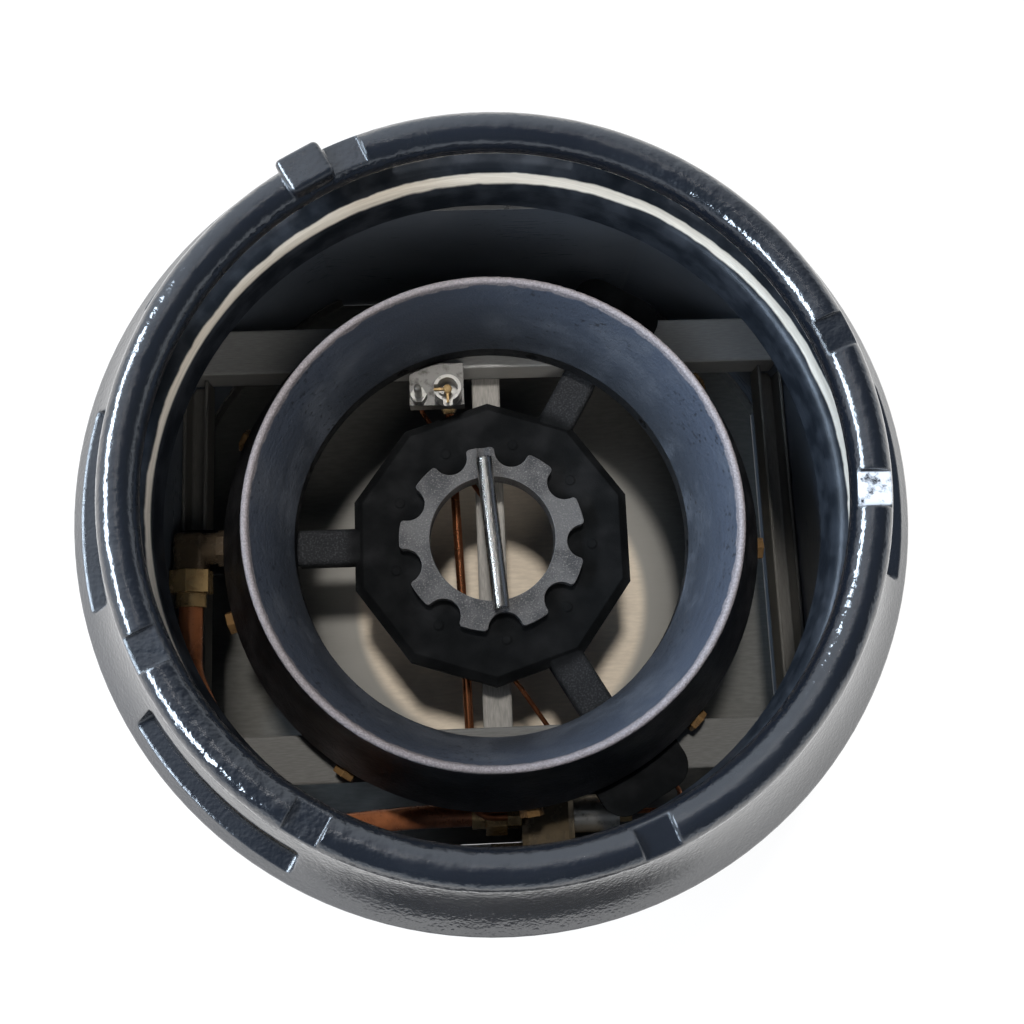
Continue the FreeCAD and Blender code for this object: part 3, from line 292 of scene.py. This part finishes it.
def star_iron():
    """Bare grey iron, granular, lighter along its edges."""
    f = Finish("star_iron")
    edge = f.rounded(0.0012)
    grain = f.noise(1050.0, 3.0, 0.6)
    flecks = f.fit(f.cells(900.0), 0.32, 0.08)
    base = f.mix(f.fit(f.noise(55.0, 5.0), 0.35, 0.7), (0.062, 0.063, 0.068), (0.130, 0.130, 0.134))
    base = f.mix(f.fit(grain, 0.5, 0.72), base, (0.225, 0.222, 0.218))
    f.set(Base_Color=f.mix(f.times(edge, 0.5), base, (0.30, 0.30, 0.31)),
          Roughness=f.fit(flecks, 0.0, 1.0, 0.62, 0.34), Metallic=0.55)
    f.bump(f.noise(130.0, 3.0), 0.0006, 0.5)
    f.bump(grain, 0.0004, 0.8)
    return f


def steel(name, colour, dark, rough, along=(1.0, 9.0, 9.0), scale=150.0, tint=None, metal=1.0):
    """Sheet or bar steel, brushed along the axis that has the smallest number."""
    f = Finish(name)
    f.rounded(0.003)
    grain = f.joined(*[f.times(part, number) for part, number in zip((f.x, f.y, f.z), along)])
    brush = f.noise(scale, 3.0, 0.5, grain)
    patch = f.noise(18.0, 4.0)
    base = f.mix(f.fit(brush, 0.3, 0.75), dark, colour)
    if tint:
        base = f.mix(f.fit(patch, 0.45, 0.8, 0.0, 0.7), base, tint)
    f.set(Base_Color=base, Metallic=metal,
          Roughness=f.fit(f.math("ADD", brush, patch), 0.7, 1.4, rough - 0.07, rough + 0.12))
    f.bump(brush, 0.00005, 0.5)
    return f


def drum_steel():
    """Brushed stainless outside; inside, painted shade, the same steel made a dark blue-grey."""
    f = Finish("drum_wall")
    f.rounded(0.0008)
    outside = f.outward()
    brush = f.noise(60.0, 4.0, 0.6, f.joined(f.x, f.y, f.times(f.z, 16.0)))
    smoke = f.noise(14.0, 5.0, 0.6)
    bright = f.mix(f.fit(brush, 0.3, 0.75), (0.40, 0.40, 0.392), (0.55, 0.55, 0.54))
    # Painted shade: the inside faces get a dark blue-grey in place of the bright steel
    painted_shade = f.mix(f.fit(smoke, 0.35, 0.75), (0.082, 0.098, 0.125), (0.112, 0.130, 0.158))
    f.set(Base_Color=f.mix(outside, painted_shade, bright), Metallic=f.fit(outside, 0.0, 1.0, 0.1, 1.0),
          Roughness=f.fit(f.math("ADD", brush, smoke), 0.7, 1.4, 0.27, 0.40))
    f.bump(brush, 0.00006, 0.6)
    return f


def floor_steel():
    """Floor sheet: a light disc painted where the light comes down through the burner, a painted pool of
    light, with painted shade round it.
    """
    f = Finish("drum_floor")
    brush = f.noise(95.0, 4.0, 0.6, f.joined(f.x, f.times(f.y, 5.0), f.z))
    stain = f.noise(24.0, 5.0, 0.6)
    # Painted pool of light: a light disc where the lamp shines down through the burner, a soft painted
    # penumbra round it, and painted shade beyond
    away = f.away(*LIT_POOL_PLACE)
    lit_pool = f.mix(f.fit(brush, 0.3, 0.75), (0.54, 0.47, 0.385), (0.64, 0.56, 0.455))
    lit_pool = f.mix(f.fit(stain, 0.45, 0.8, 0.0, 0.5), lit_pool, (0.42, 0.36, 0.295))
    painted_shade = f.mix(f.fit(brush, 0.3, 0.75), (0.078, 0.077, 0.072), (0.102, 0.101, 0.095))
    painted_penumbra = f.mix(f.fit(away, *LIT_POOL_PENUMBRA_FADE), (0.235, 0.23, 0.215), painted_shade)
    f.set(Base_Color=f.mix(f.fit(away, *LIT_POOL_EDGE_FADE), lit_pool, painted_penumbra), Metallic=0.2,
          Roughness=f.fit(stain, 0.3, 0.7, 0.5, 0.7))
    f.bump(brush, 0.00003, 0.7)
    return f


def collar_steel():
    """Stainless rim: a beige strip of painted light along the roll, and black elsewhere under the ring and
    down the inner wall, partly soot and partly painted shade.
    """
    f = Finish("collar_steel")
    turned = f.joined(f.times(f.angle(), 6.0), f.times(f.away(), 900.0), f.times(f.z, 900.0))
    brush = f.noise(1.0, 4.0, 0.6, turned)
    heat = f.noise(11.0, 4.0)
    # The beige steel, bare on the outer rim and painted as light along the roll
    bare = f.mix(f.fit(brush, 0.3, 0.75), (0.72, 0.655, 0.56), (0.90, 0.83, 0.72))
    bare = f.mix(f.fit(heat, 0.5, 0.8, 0.0, 0.4), bare, (0.42, 0.355, 0.28))
    # Soot, which also stands in as painted shade on the inner wall and under the ring
    soot = f.mix(f.fit(f.noise(70.0, 4.0), 0.35, 0.7), (0.012, 0.015, 0.020), (0.032, 0.037, 0.046))
    uneven = f.fit(f.noise(40.0, 4.0), 0.3, 0.7, -0.0005, 0.0005)
    away = f.math("ADD", f.away(*LIT_BAND_PLACE), uneven)
    # Painted light: the beige strip along the roll stands for light on the steel, only on the roll's top
    lit_band = f.times(f.fit(away, *LIT_BAND_IN_FADE), f.fit(away, *LIT_BAND_OUT_FADE))
    lit_band = f.times(lit_band, f.fit(f.z, *LIT_BAND_Z_FADE))
    lit_band_and_bare_rim = f.math("MAXIMUM", lit_band, f.fit(away, *CLEAN_R_FADE))
    f.set(Base_Color=f.mix(lit_band_and_bare_rim, soot, bare), Metallic=f.fit(away, *CLEAN_R_FADE, 0.2, 0.8),
          Roughness=f.fit(heat, 0.3, 0.7, 0.30, 0.42), Specular_IOR_Level=0.25)
    f.bump(f.noise(300.0, 3.0), 0.0003, 0.5)
    f.bump(brush, 0.00012, 0.6)
    return f


def brass(name, colour, tarnished):
    """Aged brass, brighter along its edges."""
    f = Finish(name)
    edge = f.rounded(0.0012)
    tarnish = f.fit(f.noise(130.0, 4.0, 0.6), 0.42, 0.72)
    rubbed = [min(1.0, 1.35 * part) for part in colour]
    f.set(Base_Color=f.mix(f.times(edge, 0.6), f.mix(tarnish, colour, tarnished), rubbed), Metallic=0.55,
          Roughness=f.fit(tarnish, 0.0, 1.0, 0.22, 0.36))
    f.bump(f.noise(420.0, 3.0), 0.00012, 0.5)
    return f


def copper(name, metal):
    """Drawn copper, browned by heat, with dark spots."""
    f = Finish(name)
    browned = f.fit(f.noise(38.0, 5.0, 0.6), 0.4, 0.7)
    spots = f.fit(f.noise(420.0, 2.0), 0.62, 0.74)
    base = f.mix(browned, (0.48, 0.175, 0.075), (0.24, 0.086, 0.04))
    f.set(Base_Color=f.mix(f.times(spots, 0.6), base, (0.10, 0.055, 0.04)), Metallic=metal,
          Roughness=f.fit(browned, 0.0, 1.0, 0.19, 0.36))
    f.bump(f.noise(240.0, 3.0), 0.00018, 0.5)
    return f


def nickel(name, colour, stained):
    """Nickel plate with heat stains."""
    f = Finish(name)
    f.rounded(0.0005)
    stain = f.fit(f.noise(150.0, 5.0, 0.6), 0.5, 0.72)
    f.set(Base_Color=f.mix(stain, colour, stained), Metallic=0.9,
          Roughness=f.fit(stain, 0.0, 1.0, 0.30, 0.48))
    f.bump(f.noise(700.0, 2.0), 0.00012, 0.5)
    return f


def zinc():
    """Zinc-plated steel."""
    f = Finish("zinc")
    f.rounded(0.0008)
    dull = f.noise(120.0, 4.0)
    f.set(Base_Color=f.mix(f.fit(dull, 0.3, 0.7), (0.58, 0.58, 0.56), (0.38, 0.38, 0.36)), Metallic=1.0,
          Roughness=f.fit(dull, 0.3, 0.7, 0.32, 0.48))
    f.bump(f.noise(500.0, 2.0), 0.00015, 0.5)
    return f


def phenolic():
    """Black phenolic, with the knob's white pointer line."""
    f = Finish("black_plastic")
    f.rounded(0.0014)
    haze = f.noise(70.0, 4.0)
    black = f.mix(f.fit(haze, 0.35, 0.7), (0.010, 0.010, 0.010), (0.024, 0.023, 0.022))
    beside = f.math("ABSOLUTE", f.math("SUBTRACT", f.x, TAP_X))
    start = TAP_Z + POINTER_START
    line = f.fit(beside, POINTER_HALF_W, POINTER_HALF_W - POINTER_EDGE)
    line = f.times(line, f.fit(f.z, start, start + POINTER_EDGE))
    line = f.times(line, f.fit(f.y, KNOB_FACE_Y, KNOB_FACE_Y - POINTER_EDGE))
    f.set(Base_Color=f.mix(line, black, (0.80, 0.79, 0.76)),
          Roughness=f.fit(haze, 0.3, 0.7, 0.30, 0.44), Specular_IOR_Level=0.5)
    f.bump(f.noise(900.0, 2.0), 0.0001, 0.6)
    return f


def dress(finish, *names):
    """Give a finish to CAD nodes."""
    for name in names:
        NODES[name].data.materials.clear()
        NODES[name].data.materials.append(finish.material)
    return finish


def piece(name, mesh, finish, smooth=False):
    """Turn the gathered faces into a piece that rides on the fixed body."""
    bmesh.ops.recalc_face_normals(mesh, faces=mesh.faces)
    for face in mesh.faces:
        face.smooth = smooth
    data = bpy.data.meshes.new(name)
    mesh.to_mesh(data)
    mesh.free()
    data.materials.append(finish.material)
    made = bpy.data.objects.new(name, data)
    bpy.context.scene.collection.objects.link(made)
    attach(made, "root")


def skinned(mesh, rows):
    """Faces between rows of points that each go round once, with both ends closed."""
    rows = [[mesh.verts.new(point) for point in row] for row in rows]
    for first, second in zip(rows, rows[1:]):
        for i in range(len(first)):
            j = (i + 1) % len(first)
            mesh.faces.new((first[i], first[j], second[j], second[i]))
    mesh.faces.new(rows[0])
    mesh.faces.new(list(reversed(rows[-1])))


def thread(mesh, place, radius, low, high, pitch):
    """A helical ridge round a stud, running out to nothing at both ends."""
    steps = int(THREAD_STEPS * ((high - low) / pitch - 1.0))
    root = radius - SUNK
    at_root, at_crest = pitch * THREAD_ROOT_SHARE, pitch * THREAD_CREST_SHARE
    rows = []
    for i in range(steps + 1):
        turn = 2.0 * math.pi * i / THREAD_STEPS
        middle = low + pitch * (0.5 + i / THREAD_STEPS)
        crest = radius + THREAD_DEPTH * min(1.0, i / THREAD_RUN_OUT, (steps - i) / THREAD_RUN_OUT)
        section = ((root, -at_root), (crest, -at_crest), (crest, at_crest), (root, at_root))
        rows.append([(place[0] + out * math.cos(turn), place[1] + out * math.sin(turn), middle + rise)
                     for out, rise in section])
    skinned(mesh, rows)


def on_panel(turn, radius, y):
    """A point on the front panel, by its turn from straight up, anticlockwise, round the knob."""
    return TAP_X - radius * math.sin(turn), y, TAP_Z + radius * math.cos(turn)


def panel_print(finish):
    """Off dot over the knob, and a wedge that goes from full flame to low flame."""
    mesh = bmesh.new()
    inside, face = PANEL_Y + SUNK, PANEL_Y - PRINT_T
    ring = [2.0 * math.pi * i / DOT_SIDES for i in range(DOT_SIDES)]
    rows = []
    for depth in (inside, face):
        x, y, z = on_panel(0.0, PRINT_R, depth)
        rows.append([(x + DOT_R * math.cos(t), y, z + DOT_R * math.sin(t)) for t in ring])
    skinned(mesh, rows)
    rows = []
    for i in range(WEDGE_STEPS + 1):
        share = i / WEDGE_STEPS
        turn = math.radians(WEDGE_START + WEDGE_TURN * share)
        half = WEDGE_WIDE - WEDGE_TAPER * share
        near, far = PRINT_R - half, PRINT_R + half
        rows.append([on_panel(turn, near, inside), on_panel(turn, far, inside),
                     on_panel(turn, far, face), on_panel(turn, near, face)])
    skinned(mesh, rows)
    piece("panel_print", mesh, finish)


def seam_weld(finish):
    """The rippled weld that closes the drum's sheet at the back."""
    mesh = bmesh.new()
    half_round = [math.pi * k / WELD_SIDES for k in range(WELD_SIDES + 1)]
    rows = []
    for i in range(WELD_STEPS + 1):
        z = WELD_LOW + WELD_LENGTH * i / WELD_STEPS
        ripple = WELD_RIPPLE * abs(math.sin(math.pi * i / WELD_RIPPLE_STEPS))
        half, high = WELD_HALF_W + ripple, WELD_H + ripple
        rows.append([(half * math.cos(t), BACK_Y - SUNK + high * math.sin(t), z - WELD_LAG * math.sin(t))
                     for t in half_round])
    skinned(mesh, rows)
    piece("seam_weld", mesh, finish, True)


def stud_threads(finish):
    mesh = bmesh.new()
    for corner in range(FOOT_COUNT):
        turn = math.radians(FOOT_TURN + 360.0 * corner / FOOT_COUNT)
        place = (FOOT_CIRCLE_R * math.cos(turn), FOOT_CIRCLE_R * math.sin(turn))
        thread(mesh, place, STUD_R, STUD_LOW, STUD_HIGH, STUD_PITCH)
    piece("stud_threads", mesh, finish)


def inlet_thread(finish):
    mesh = bmesh.new()
    thread(mesh, INLET_PLACE, INLET_R, INLET_LOW, INLET_HIGH, INLET_PITCH)
    piece("inlet_thread", mesh, finish)


def dress_part():
    """Give every CAD node its finish, and add the small details."""
    lengthwise = (9.0, 1.0, 9.0)
    dress(enamel(), "wok_ring")
    dress(guard_iron(), "flame_guard")
    dress(soot_iron(), "burner_body")
    dress(star_iron(), "star_cap")
    dress(collar_steel(), "collar")
    dress(drum_steel(), "drum")
    dress(floor_steel(), "floor_pan")
    # Painted light and shade: the back rail's steel is made lighter and the front rail's darker, two copies
    # of one steel for how the light falls on them
    dress(steel("rail", (0.37, 0.37, 0.365), (0.29, 0.29, 0.284), 0.40, metal=0.5), "back_rail")
    dress(steel("shaded_front_rail", (0.14, 0.14, 0.136), (0.105, 0.104, 0.10), 0.48, metal=0.25), "front_rail")
    dress(steel("channel", (0.185, 0.18, 0.168), (0.145, 0.14, 0.13), 0.36, lengthwise, metal=0.5),
          "left_channel", "right_channel")
    dress(steel("strip", (0.31, 0.295, 0.272), (0.20, 0.192, 0.18), 0.45, lengthwise, metal=0.4),
          "centre_strip")
    dress(steel("polished_steel", (0.80, 0.76, 0.70), (0.48, 0.445, 0.41), 0.24, (22.0, 0.3, 22.0), 60.0,
                (0.50, 0.42, 0.34)), "lift_bar", "tap_spindle", "tap_spring")
    bright_brass = dress(brass("brass", (0.52, 0.36, 0.17), (0.27, 0.18, 0.085)),
                         "gas_jets", "pipe_nuts", "pipe_sleeves", "tap_rotor", "gas_inlet", "inlet_nut",
                         "lead_nut", "pilot_burner", "pilot_nuts")
    dress(brass("plug_brass", (0.24, 0.14, 0.06), (0.13, 0.08, 0.04)), "jet_plugs")
    dress(brass("bronze", (0.115, 0.085, 0.056), (0.06, 0.046, 0.032)), "gas_elbow")
    dress(brass("dark_brass", (0.13, 0.10, 0.062), (0.062, 0.049, 0.033)), "tap_body")
    dress(copper("copper", 0.4), "gas_pipe")
    dress(copper("tube_copper", 0.95), "thermocouple_lead", "pilot_tube")
    dress(nickel("nickel", (0.58, 0.56, 0.52), (0.28, 0.262, 0.23)),
          "safety_magnet", "thermocouple", "pilot_hood")
    dress(nickel("smoked_nickel", (0.25, 0.242, 0.23), (0.10, 0.094, 0.085)), "pilot_bracket")
    plated = dress(zinc(), "feet", "foot_nuts", "burner_bolts", "tap_bonnet", "tap_screws", "bracket_screws")
    black = dress(phenolic(), "knob")
    panel_print(black)
    seam_weld(steel("weld", (0.46, 0.45, 0.43), (0.30, 0.28, 0.26), 0.34, (1.0, 1.0, 1.0),
                    tint=(0.34, 0.27, 0.20)))
    stud_threads(plated)
    inlet_thread(bright_brass)


def studio_floor():
    """Pale floor that shows white, keeps a soft shadow and mirrors a dark patch where an onlooker stands."""
    mesh = bpy.data.meshes.new("studio_floor")
    s = FLOOR_HALF_W
    mesh.from_pydata([(-s, -s, 0), (s, -s, 0), (s, s, 0), (-s, s, 0)], [], [(0, 1, 2, 3)])
    floor = bpy.data.objects.new("studio_floor", mesh)
    bpy.context.scene.collection.objects.link(floor)
    f = Finish("studio_floor")
    f.set(Base_Color=f.mix(f.noise(3.0), (0.90, 0.90, 0.90), (0.93, 0.93, 0.93)), Roughness=0.8)
    path = f.add("LightPath").outputs
    onlooker = f.fit(f.away(0.0, ONLOOKER_Y, ONLOOKER_W, ONLOOKER_D), 0.55, 1.15, 0.12, 1.0)
    direct = path["Is Camera Ray"]
    mirrored = f.math("MAXIMUM", path["Is Glossy Ray"], path["Is Transmission Ray"])
    white = f.add("Emission", Color=(1.0, 1.0, 1.0), Strength=f.math("MAXIMUM", direct, onlooker))
    shown = f.math("MAXIMUM", f.times(direct, FLOOR_WHITE), mirrored)
    f.blend(shown, f.shader.outputs[0], white.outputs[0], "Material Output")
    mesh.materials.append(f.material)


def studio_world():
    """Soft light from all round. Mirrors see a light card at the back left and a light horizon."""
    world = bpy.data.worlds.new("studio")
    world.use_nodes = True
    bpy.context.scene.world = world
    n = Nodes(world.node_tree)
    x, y, z = n.add("SeparateXYZ", Vector=n.add("TexCoord").outputs["Generated"]).outputs
    ramp = n.add("ValToRGB", Fac=z)
    stops = ramp.color_ramp.elements
    stops[0].color = (0.86, 0.83, 0.79, 1.0)
    stops[1].color = (0.40, 0.45, 0.52, 1.0)
    stops.new(0.22).color = (0.70, 0.69, 0.68, 1.0)
    stops.new(0.5).color = (0.42, 0.45, 0.50, 1.0)
    lit = n.tree.nodes["Background"]
    n.feed(lit.inputs["Color"], ramp.outputs[0])
    n.feed(lit.inputs["Strength"], WORLD_STRENGTH)
    card = n.fit(n.math("ADD", n.times(x, CARD_TURN), y), -0.15, 0.75, 0.08, 1.0)
    low = n.fit(z, 0.12, 0.40, 0.9, 0.0)
    mirrored = n.add("Background", Color=(0.68, 0.735, 0.80), Strength=n.math("MAXIMUM", card, low))
    path = n.add("LightPath").outputs
    seen = n.math("MAXIMUM", path["Is Camera Ray"], path["Is Glossy Ray"])
    n.blend(seen, lit.outputs[0], mirrored.outputs[0], "World Output")


def lamp(name, place, target, size, watts, colour, mirrored=True, height=0.0):
    """A round lamp, or a strip where a height is given."""
    light = bpy.data.lights.new(name, "AREA")
    light.shape = "RECTANGLE" if height else "DISK"
    light.size = size
    light.size_y = height or size
    light.energy = watts
    light.color = colour
    made = bpy.data.objects.new(name, light)
    made.location = place
    made.visible_glossy = mirrored
    made.rotation_euler = (Vector(target) - Vector(place)).to_track_quat("-Z", "Y").to_euler()
    bpy.context.scene.collection.objects.link(made)


def camera():
    data = bpy.data.cameras.new("camera")
    data.sensor_width = SENSOR_W
    data.lens = SENSOR_W * FOCAL_PX / PHOTO_PX
    made = bpy.data.objects.new("camera", data)
    turn = Matrix((CAMERA_RIGHT, CAMERA_UP, CAMERA_BACK)).transposed().to_4x4()
    made.matrix_world = Matrix.Translation(CAMERA_PLACE) @ turn
    bpy.context.scene.collection.objects.link(made)
    bpy.context.scene.camera = made


dress_part()
studio_floor()
studio_world()
lamp("key", KEY_PLACE, KEY_TARGET, 0.2, 34.0, (1.0, 0.96, 0.90), mirrored=False)
lamp("glint", KEY_PLACE, KEY_TARGET, 0.2, 5.0, (1.0, 0.97, 0.94))
lamp("front", (0.2, -0.95, 1.55), (-0.05, 0.1, 0.2), 1.0, 16.0, (1.0, 0.96, 0.90), mirrored=False)
lamp("window", (-1.7, 0.05, 1.6), (0.0, 0.05, 0.2), 2.6, 98.0, (0.70, 0.84, 1.0), height=0.5)
camera()
bpy.context.scene.view_settings.view_transform = "Standard"
